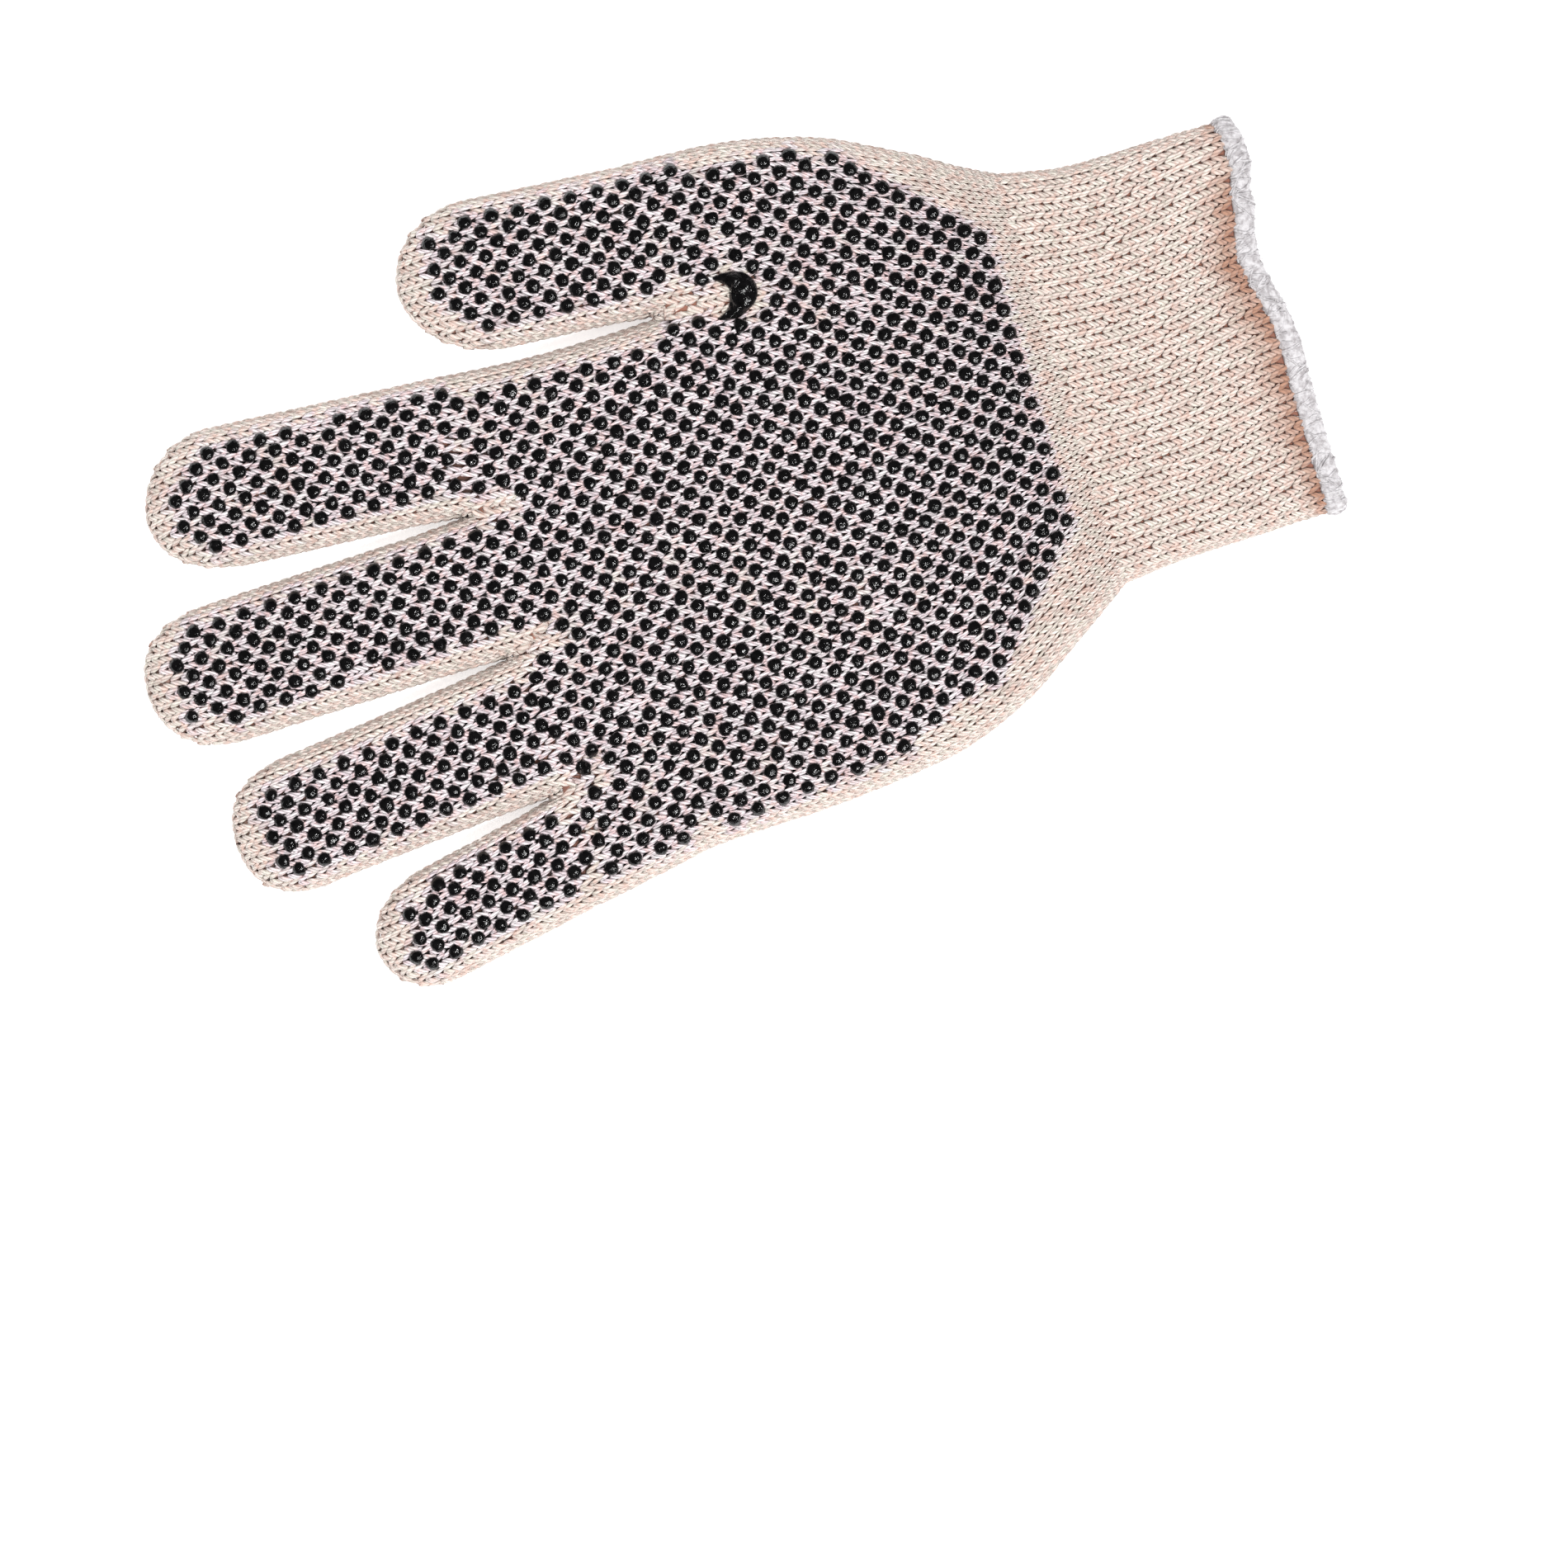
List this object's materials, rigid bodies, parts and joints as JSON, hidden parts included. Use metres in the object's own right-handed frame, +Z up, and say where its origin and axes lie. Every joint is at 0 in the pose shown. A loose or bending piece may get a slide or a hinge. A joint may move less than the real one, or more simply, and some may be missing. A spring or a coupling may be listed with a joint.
{
  "type": "cotton work glove",
  "caption": "Seamless string-knit cotton glove for the right hand, lying palm up, with a ribbed cuff, overlocked edge and rubbery grip dots over palm and fingers.",
  "frame": {"origin": "on the ground under the middle of the glove as it lies palm up", "axes": "+Y from the cuff to the fingertips, +X towards the thumb, +Z up out of the palm"},
  "size_m": [0.1494, 0.2432, 0.0134],
  "materials": {
    "cotton_knit": "natural unbleached cotton string knit",
    "overlock_thread": "fuzzy off-white overlock thread",
    "grip_print": "glossy black PVC print"
  },
  "bodies": {
    "root": {"cuff": "cotton_knit", "thumb_body": "cotton_knit", "knuckle_body": "cotton_knit", "thumb": "cotton_knit", "index_finger": "cotton_knit", "middle_finger": "cotton_knit", "ring_finger": "cotton_knit", "little_finger": "cotton_knit", "cuff_overlock": "overlock_thread", "thumb_crotch_patch": "grip_print"}
  },
  "joints": []
}
